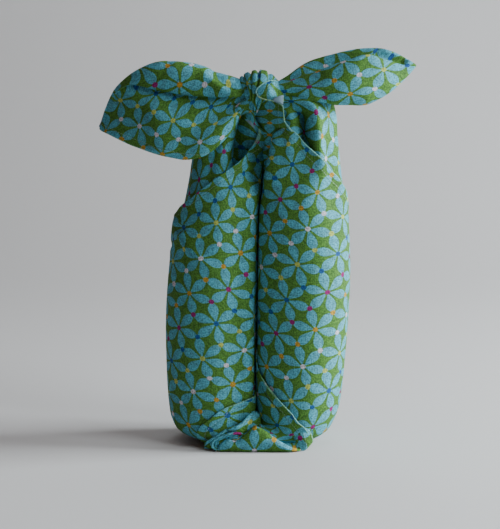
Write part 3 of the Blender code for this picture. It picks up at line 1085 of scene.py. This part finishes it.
@dataclass(frozen=True)
class Knot:
    """The single knot: a pleated band over the top, a lobe in front, and a panel in its shade."""

    band_print: Print = Print(0.8, 325.3, 436.8, 300.0, 238.0, 1.7, 1.25)
    lobe_print: Print = Print(9.8, 317.6, 522.8, 52.6, 132.0)
    panel_print: Print = Print(-6.8, 288.0, 505.6, 82.4, 180.0, 0.95, 1.9)
    pleats: tuple[Pleat, ...] = (
        Pleat(0.95, -2.6, 0.16),
        Pleat(2.05, -2.6, 0.16),
        Pleat(3.0, -2.6, 0.16),
        Pleat(4.1, -2.6, 0.16),
        Pleat(3.16, 0.9, 0.10),
    )

    def lay_band(self, sheet: Sheet) -> None:
        """Lay the band, with its pleats."""
        ribs = (9, 12, 12, 12, 9)
        full, normal = woven(printed(BAND, self.band_print), ribs, (6, 8, 8, 8, 10))
        # its ribs run down the front, so that its normals point into the knot
        positions = np.interp(np.arange(len(full)), np.cumsum([0, *ribs]), np.arange(len(BAND)))
        for rib, position in enumerate(positions):
            out = sum(pleat.out * bell(position - pleat.rib, pleat.width) for pleat in self.pleats)
            full[rib, :, :3] -= normal[rib] * out
        sheet.lay_samples(full[:, ::-1])

    def lay(self, sheet: Sheet) -> None:
        """Lay the knot's patches in a sheet."""
        self.lay_band(sheet)
        lobe = np.swapaxes(printed(LOBE, self.lobe_print, (0, 9, 22)), 0, 1)[:, ::-1]
        Net(lobe, (10, 10), (6,) * 8, crumple=0.3).lay(sheet)
        panel = printed(PANEL, self.panel_print, ([40], [25], [14], [6], [0]))[:, ::-1]
        Net(panel, (7, 7, 7, 6), (6, 6, 6, 6, 8), crumple=0.5).lay(sheet)
        # at no distance inside the hem, these rolls take the painted highlight of the hem's edge
        for edge in HEM_EDGES:
            edge.lay(sheet, inside=0.0, steps=(4, 2), crumple=0.0)
        for shape in (TURNED, TIP):
            turned = printed(shape, self.lobe_print, (0, 6))[::-1]
            Net(turned, (6, 6, 6), (4,), crumple=0.1).lay(sheet)


# ---- the folds underneath ----
# ribs of x, y, z points for each patch
FLAP = (
    ((-35.5, -46, 0.6), (-35.5, -47.5, 1.2), (-35.3, -46, 1.9), (-35, -43.5, 1.4), (-34, -38, 1)),
    ((-31, -47, 0.5), (-31, -49, 4.5), (-30.9, -45.5, 8.2), (-30.5, -43, 7), (-29, -37, 4)),
    ((-26, -47.5, 0.5), (-26, -50, 6), (-25.9, -45.5, 11), (-25.5, -43, 9.5), (-25, -37, 6)),
    ((-19, -48, 0.5), (-19, -50, 5.5), (-19, -46, 9.7), (-18.5, -43, 8.5), (-18, -37, 6)),
    ((-10, -48.5, 0.5), (-10, -50.5, 9), (-10, -45.5, 16), (-10, -42, 15), (-9, -32, 14)),
    ((-1.7, -48.5, 0.5), (-1.7, -50.5, 11), (-1.6, -44.5, 21.3), (-1.7, -40, 21), (-1.6, -24, 19)),
    ((6.6, -48.5, 0.5), (6.6, -50.5, 10), (6.6, -45.5, 18.6), (6.4, -41.5, 17.5), (6, -31, 14)),
    ((16.7, -48.5, 0.5), (16.8, -50.5, 6.5), (16.7, -46.5, 11.6), (16.5, -43, 10.3), (16, -35, 7)),
    ((29, -48, 0.5), (29.2, -50, 2.4), (29.2, -47.5, 4.1), (29.2, -44, 3.6), (29.5, -36, 6)),
    ((36.5, -46, 0.6), (37.3, -47, 0.9), (37.2, -46, 1.4), (37.5, -43, 2), (38.5, -36, 5)),
)
BIB = (
    ((-46.5, -41, 1.5), (-46.3, -42.5, 3.4), (-45.6, -42.5, 5.4), (-44, -39, 6)),
    ((-36, -43, 1.5), (-36.2, -44, 6), (-36.1, -43.5, 12.4), (-35, -39, 13)),
    ((-26, -42, 4), (-26, -43.5, 12), (-26, -43, 18.8), (-25, -38, 19.5)),
    ((-17, -40, 6), (-17, -43, 14), (-17, -43, 21.2), (-16, -36, 22)),
    ((-9.5, -36, 8), (-9.5, -40, 18), (-9.6, -39, 26.3), (-9, -31, 27)),
    ((-2, -28, 10), (-2.5, -33, 20), (-4, -31, 30), (-4, -22, 31)),
    ((4, -20, 10), (4, -25, 19), (3, -23, 27), (3, -16, 28)),
)
SKIRT = (
    ((38.2, -45.5, 0.6), (37, -44.5, 3), (32.5, -41, 9.2), (26.8, -36.5, 19.5)),
    ((40.9, -45, 0.6), (42.2, -45, 3.9), (41, -43.5, 10.1), (37.6, -37.5, 22)),
    ((44.8, -42.5, 3.2), (48.7, -41, 8.3), (47.9, -40, 11.9), (44.6, -36.5, 18.4)),
)
FOOT_ROLLS = (
    Rolled(1.9, 4, (
        (-25.2, -43.5, 19), (-21, -45, 20.3), (-16.8, -45, 21.6), (-13.8, -43.5, 23.2),
        (-9.9, -40.5, 26.3), (-5, -34, 30),
    )),
    Rolled(1.3, 5, (
        (-45.6, -43.5, 5.2), (-43.3, -44.5, 7.8), (-40.5, -45, 9.9), (-36.1, -45, 12.5),
        (-32, -45, 15.4), (-26.5, -44, 18.6),
    )),
    Rolled(1.15, 7, (
        (-35.4, -46.5, 1.7), (-38.8, -46.5, 4.6), (-38.9, -46.5, 7.3), (-37.7, -46.5, 9.5),
        (-34.7, -46.5, 11.8), (-30.3, -46.5, 13.7), (-25.2, -46.5, 15.4), (-20.2, -46, 16.2),
        (-15.1, -44.5, 15.7), (-12, -42.5, 13.9),
    )),
    Rolled(0.95, 9, (
        (-34.2, -45, 2.4), (-36.4, -45, 5.1), (-35.9, -45, 7.8), (-33.7, -45, 10),
        (-30.2, -45, 11.8), (-25.9, -45, 13.4), (-21.4, -44.5, 14.1), (-17, -43.5, 13.7),
        (-14.6, -42, 11.5),
    )),
    Rolled(1.3, 10, (
        (-25, -43.5, 11.6), (-20.3, -44.5, 12.3), (-16.8, -44, 10.9), (-15.5, -42.5, 8.5),
    )),
)


@dataclass(frozen=True)
class Foot:
    """The corner tucked up in front, with the drapes and the rolled folds beside it."""

    flap_print: Print = Print(-2.4, 1.2, 213.0, 231.4, 60.6)
    bib_print: Print = Print(-39.0, 20.0, 3.1, 95.9, 315.0)
    skirt_print: Print = Print(38.5, 20.0, 80.3, 5.2, 135.0)

    def lay(self, sheet: Sheet) -> None:
        """Lay the flap, the drapes and the rolled folds in a sheet."""
        flap = printed(FLAP, self.flap_print)
        Net(flap, (5, 5, 5, 6, 7, 7, 6, 7, 6), (6, 8, 4, 5), crumple=0.3).lay(sheet)
        Net(printed(BIB, self.bib_print), (6, 7, 7, 6, 6, 5), (5, 6, 5), crumple=0.4).lay(sheet)
        skirt = printed(SKIRT, self.skirt_print, ([14], [7], [0]))
        Net(skirt, (6, 6), (4, 5, 6), crumple=0.3).lay(sheet)
        for roll in FOOT_ROLLS:
            roll.lay(sheet, inside=20.0, steps=(5, 3), crumple=0.1)


# ---- the print and the cloth's finish ----
class Sock:
    """An output of a shader node, with arithmetic."""

    def __init__(self, tree: bpy.types.NodeTree, socket: bpy.types.NodeSocket) -> None:
        """Wrap an output of a node tree."""
        self.tree = tree
        self.socket = socket

    def math(self, operation: str, *others: "Sock | float") -> "Sock":
        """Apply a Math operation to this value and others."""
        return node(self.tree, "Math", dict(enumerate((self, *others))), operation=operation)

    __add__ = partialmethod(math, "ADD")
    __sub__ = partialmethod(math, "SUBTRACT")
    __mul__ = partialmethod(math, "MULTIPLY")
    __truediv__ = partialmethod(math, "DIVIDE")

    def __rsub__(self, other: float) -> "Sock":
        """Subtract this from a number."""
        return node(self.tree, "Math", {0: other, 1: self}, operation="SUBTRACT")

    def step(self, low: float, high: float) -> "Sock":
        """A smooth step from 0 at low to 1 at high."""
        ends = {"Value": self, "From Min": low, "From Max": high}
        return node(self.tree, "MapRange", ends, "Result", interpolation_type="SMOOTHSTEP")

    def remainder(self, length: float = 1.0) -> "Sock":
        """What is left after the nearest multiple of a length is taken away."""
        return self - (self / length).math("ROUND") * length


def node(
    tree: bpy.types.NodeTree,
    kind: str,
    sockets: dict[str | int, "Sock | float | tuple"],
    output: str | int = 0,
    **settings: str,
) -> Sock:
    """Make a shader node.

    Args:
        tree: The material's tree.
        kind: The node's type, after ShaderNode.
        sockets: Numbers, colours or other nodes' outputs for its inputs, by name or number.
        output: The output that is wanted.
        settings: The node's properties, set first.

    Returns:
        The output.
    """
    made = tree.nodes.new("ShaderNode" + kind)
    for key, value in settings.items():
        setattr(made, key, value)
    for key, value in sockets.items():
        if isinstance(value, Sock):
            tree.links.new(value.socket, made.inputs[key])
        else:
            made.inputs[key].default_value = value
    return Sock(tree, made.outputs[output])


def mixed(share: Sock, first: Sock | Colour, second: Sock | Colour) -> Sock:
    """Mix two colours, with a share of the second."""
    ends = [end if isinstance(end, Sock) else (*end, 1.0) for end in (first, second)]
    factor, colour_a, colour_b, result = 0, 6, 7, 2
    sockets = {factor: share, colour_a: ends[0], colour_b: ends[1]}
    return node(share.tree, "Mix", sockets, result, data_type="RGBA")


def measured(tree: bpy.types.NodeTree, uv_map: str, axis: str) -> Sock:
    """One coordinate of a UV map, in millimetres."""
    place = node(tree, "UVMap", {}, uv_map=uv_map)
    return node(tree, "SeparateXYZ", {0: place}, axis) * (1 / MM)


def mottle(u: Sock, v: Sock, size: float, seed: float) -> Sock:
    """Uneven dye or thread with spots of a size, from 0 to 1."""
    spot = node(u.tree, "CombineXYZ", {0: u / size, 1: v / size, 2: seed})
    return node(u.tree, "TexNoise", {"Vector": spot, "Scale": 1.0, "Detail": 3.0}).step(0.35, 0.68)


def shaded(name: str, sockets: dict[str, float | tuple]) -> bpy.types.Material:
    """Make a material, with some of its shader's own sockets set."""
    material = bpy.data.materials.new(name)
    material.use_nodes = True
    shader = material.node_tree.nodes["Principled BSDF"]
    for key, value in sockets.items():
        shader.inputs[key].default_value = value
    return material


@dataclass(frozen=True)
class Petals:
    """The shape of a petal.

    Places along it are 0 at the flower's middle and 1 at the dot where three petals meet, and
    widths are shares of the distance between flowers. fullest is a power that moves its fullest
    place outwards, and blunt one that blunts its ends. The rest are soft steps at its edges.
    """

    fullest: float = 1.48
    blunt: float = 0.93
    half_width: float = 0.1255
    side: Pair = (-0.004, 0.012)
    inner: Pair = (0.06, 0.12)
    outer: Pair = (0.93, 0.97)

    def cover(self, along: Sock, across: Sock) -> Sock:
        """1 on a petal and 0 beside it, from the places along it and across it."""
        swell = (along.math("POWER", self.fullest) * math.pi).math("SINE").math("MAXIMUM", 0.0)
        half_width = swell.math("POWER", self.blunt) * self.half_width
        ends = along.step(*self.inner) * (1.0 - along.step(*self.outer))
        return (half_width - across).step(*self.side) * ends


@dataclass(frozen=True)
class PrintedCotton:
    """The flower print: six-petalled flowers on a triangular lattice, and dots in five colours.

    The mottles are sizes and seeds: the petals', the ground's and the thread's. stitch is half the
    distance between stitches along u + v. highlight_shade_stitch_shares say how much shows of the
    painted highlight on the hem's edge, the painted shade in its groove and its stitches, and
    weave_shares how much is plain weave and how much uneven thread.
    """

    ground: Colour = (0.100, 0.284, 0.041)
    ground_dark: Colour = (0.064, 0.188, 0.029)
    petal: Colour = (0.112, 0.504, 0.650)
    petal_dark: Colour = (0.100, 0.370, 0.450)
    dots: tuple[Colour, ...] = (
        (0.013, 0.110, 0.350),
        (0.480, 0.580, 0.120),
        (0.700, 0.670, 0.740),
        (0.540, 0.320, 0.032),
        (0.300, 0.012, 0.160),
    )
    dot_radius: float = 2.35
    dot_edge: Pair = (-0.35, 0.1)
    petals: Petals = Petals()
    mottles: tuple[Pair, Pair, Pair] = ((5.0, 3.0), (3.0, 11.0), (1.4, 21.0))
    # edge: a painted highlight, the light that the hem's fold edge catches, painted as a paler
    # colour
    edge: Colour = (0.27, 0.60, 0.42)
    highlight_step: Pair = (0.4, 0.9)
    thread: Colour = (0.40, 0.54, 0.54)
    stitch: float = 1.5
    stitch_inside: float = 6.4
    highlight_shade_stitch_shares: tuple[float, float, float] = (0.6, 0.35, 0.5)
    thread_pitch: float = 1.05
    weave_shares: Pair = (0.4, 0.6)
    weave_shade: float = 0.75
    bump: float = 0.5
    relief: float = 0.15
    roughness: float = 0.82
    specular: float = 0.25

    def build(self) -> bpy.types.Material:
        """The material of the printed face."""
        sockets = {"Roughness": self.roughness, "Specular IOR Level": self.specular}
        material = shaded("printed_cotton", sockets)
        tree = material.node_tree
        u, v = measured(tree, "cloth", "X"), measured(tree, "cloth", "Y")
        weave = self.weave(u, v)
        colour = self.sewn(u, v, self.pattern(u, v))
        light = 1.0 - weave * self.weave_shade
        colour = node(tree, "VectorMath", {0: colour, "Scale": light}, operation="SCALE")
        relief = {"Strength": self.bump, "Distance": self.relief * MM, "Height": 1.0 - weave}
        shader = tree.nodes["Principled BSDF"]
        tree.links.new(colour.socket, shader.inputs["Base Color"])
        tree.links.new(node(tree, "Bump", relief).socket, shader.inputs["Normal"])
        return material

    def sewn(self, u: Sock, v: Sock, colour: Sock) -> Sock:
        """Add a painted highlight on the hem's edge, painted shade in its groove, and stitches."""
        inside = measured(u.tree, "sewing", "X")
        # painted highlight: the hem's fold edge painted paler, as if it caught the light
        edge = 1.0 - inside.step(*self.highlight_step)
        # painted shade: the groove where the hem's turned edge ends, darkened towards ground_dark
        groove_shade = 1.0 - (inside - SQUARE.hem_width).math("ABSOLUTE").step(0.1, 0.7)
        line = 1.0 - (inside - self.stitch_inside).math("ABSOLUTE").step(0.1, 0.35)
        dash = ((u + v) * (math.pi / self.stitch)).math("SINE").step(-0.8, -0.4)
        highlight_share, groove_shade_share, stitch_share = self.highlight_shade_stitch_shares
        colour = mixed(edge * highlight_share, colour, self.edge)
        colour = mixed(groove_shade * groove_shade_share, colour, self.ground_dark)
        return mixed(line * dash * stitch_share, colour, self.thread)

    def pattern(self, u: Sock, v: Sock) -> Sock:
        """The print's colour at u, v.

        The flowers' middles are two rectangular lattices, a and b, and the nearer middle counts.
        Round it, the sixths of a turn are folded onto one petal.
        """
        root3 = math.sqrt(3.0)
        sixth = math.pi / 3
        x = (u - SQUARE.first_u) / SQUARE.repeat
        y = (v - SQUARE.first_v) / SQUARE.repeat
        ax, ay = x.remainder(), y.remainder(root3)
        bx, by = (x - 0.5).remainder(), (y - root3 / 2).remainder(root3)
        b_nearer = (ax * ax + ay * ay).math("GREATER_THAN", bx * bx + by * by)
        px, py = ax + (bx - ax) * b_nearer, ay + (by - ay) * b_nearer
        radius = (px * px + py * py).math("SQRT")
        fold = (py.math("ARCTAN2", px) / sixth - 0.5).remainder() * sixth
        along = radius * fold.math("COSINE") * root3
        across = (radius * fold.math("SINE")).math("ABSOLUTE")
        on_petal, on_ground, _ = self.mottles
        petal = mixed(mottle(u, v, *on_petal), self.petal, self.petal_dark)
        ground = mixed(mottle(u, v, *on_ground), self.ground, self.ground_dark)
        colour = mixed(self.petals.cover(along, across), ground, petal)
        tip = (along - 1.0) / root3
        distance = (tip * tip + across * across).math("SQRT").math("MINIMUM", radius)
        starts, ends = (self.dot_radius + edge for edge in self.dot_edge)
        dot = 1.0 - (distance * SQUARE.repeat).step(starts, ends)
        return mixed(dot, colour, self.dot_colour(x))

    def dot_colour(self, x: Sock) -> Sock:
        """The colour of a row of dots, by the place along u in repeats of the print."""
        count = len(self.dots)
        row = (x * 2.0).math("ROUND")
        which = row - (row / count).math("FLOOR") * count
        colour: Sock | Colour = self.dots[0]
        for number, tone in enumerate(self.dots[1:], start=1):
            colour = mixed(which.math("GREATER_THAN", number - 0.5), colour, tone)
        return colour

    def weave(self, u: Sock, v: Sock) -> Sock:
        """The gaps of the plain weave, from 0 to 1, with uneven slubs."""
        warp = (u * (math.pi / self.thread_pitch)).math("SINE")
        weft = (v * (math.pi / self.thread_pitch)).math("SINE")
        plain, uneven = self.weave_shares
        return (warp * weft * 0.5 + 0.5) * plain + mottle(u, v, *self.mottles[2]) * uneven


@dataclass(frozen=True)
class WrongSide:
    """The unprinted back of the cotton, plain, its pale tone darkened by painted shade."""

    # darker than the pale back: painted shade for the turned corners, which lie in shade
    colour: Colour = (0.11, 0.175, 0.215)
    roughness: float = 0.88
    specular: float = 0.25

    def build(self) -> bpy.types.Material:
        """The material of the wrong side."""
        sockets = {"Roughness": self.roughness, "Specular IOR Level": self.specular}
        return shaded("cotton_wrong_side", {"Base Color": (*self.colour, 1.0), **sockets})


# ---- the room ----
class Lamp(NamedTuple):
    """A soft square lamp that looks at the wrap: its place and size in metres, and its power."""

    name: str
    place: Point
    size: float
    power: float


@dataclass(frozen=True)
class Studio:
    """A pale floor that curves up at the back, soft lights and the camera, in metres."""

    lamps: tuple[Lamp, ...] = (
        Lamp("key", (1.98, 0.05, 0.75), 0.8, 108.0),
        Lamp("front", (1.42, -0.95, 1.2), 0.8, 19.0),
        Lamp("fill", (-0.2, -2.1, 0.9), 1.6, 0.6),
        Lamp("top", (-0.25, -0.3, 1.9), 1.0, 4.5),
        Lamp("back", (0.3, 0.9, 1.6), 1.0, 3.0),
    )
    lamp_colour: Colour = (0.93, 1.0, 1.03)
    lit: Point = (0.0, 0.0, 0.17)
    world: Colour = (1.0, 0.45, 0.36)
    world_strength: float = 0.09
    elevation: float = 8.0
    distance: float = 1.30
    lens: float = 103.37
    aim: Point = (-0.0064, -0.040, 0.163)
    floor_colour: Colour = (0.62, 0.62, 0.62)
    floor_size: float = 4.0
    bend_starts: float = 0.9
    bend: float = 1.2

    def build(self) -> None:
        """Make the floor, the lights and the camera."""
        self.floor()
        for lamp in self.lamps:
            self.light(lamp)
        world = bpy.data.worlds.new("studio")
        world.use_nodes = True
        light = world.node_tree.nodes["Background"].inputs
        light["Color"].default_value = (*self.world, 1.0)
        light["Strength"].default_value = self.world_strength
        bpy.context.scene.world = world
        self.camera()

    def floor(self) -> None:
        """Make the pale floor, curving up at the back."""
        edit = bmesh.new()
        bmesh.ops.create_grid(edit, x_segments=1, y_segments=48, size=self.floor_size)
        for vertex in edit.verts:
            past = max(vertex.co.y - self.bend_starts, 0.0)
            turn = min(past / self.bend, math.pi / 2)
            wall = max(past - self.bend * math.pi / 2, 0.0)
            vertex.co.y -= past - self.bend * math.sin(turn)
            vertex.co.z = self.bend * (1 - math.cos(turn)) + wall
        mesh = bpy.data.meshes.new("floor")
        edit.to_mesh(mesh)
        edit.free()
        mesh.shade_smooth()
        colour = (*self.floor_colour, 1.0)
        mesh.materials.append(shaded("floor", {"Base Color": colour, "Roughness": 0.95}))
        placed("floor", mesh)

    def light(self, lamp: Lamp) -> None:
        """Hang a lamp."""
        data = bpy.data.lights.new(lamp.name, "AREA")
        data.size = lamp.size
        data.energy = lamp.power
        data.color = self.lamp_colour
        made = placed(lamp.name, data)
        made.location = lamp.place
        towards = Vector(self.lit) - Vector(lamp.place)
        made.rotation_euler = towards.to_track_quat("-Z", "Y").to_euler()

    def camera(self) -> None:
        """Place the camera in front of the wrap."""
        data = bpy.data.cameras.new("camera")
        data.lens = self.lens
        data.clip_start = 0.05
        camera = placed("camera", data)
        lean = math.radians(self.elevation)
        back = Vector((0.0, -math.cos(lean), math.sin(lean))) * self.distance
        camera.location = Vector(self.aim) + back
        camera.rotation_euler = (math.pi / 2 - lean, 0.0, 0.0)
        bpy.context.scene.camera = camera


def main() -> None:
    """Build the wrap and the room."""
    logging.basicConfig(level=logging.INFO, format="%(message)s")
    sheet = Sheet()
    for patches in (RIGHT_ROLL, LEFT_ROLL, LeftEar(), RightEar(), Knot(), Foot()):
        patches.lay(sheet)
    cloth = sheet.finish("printed_square", (PrintedCotton().build(), WrongSide().build()))
    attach(cloth, "root")
    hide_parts(NODE)
    LOG.info("cloth: %d faces", len(cloth.data.polygons))
    Studio().build()


if __name__ == "__main__":
    main()
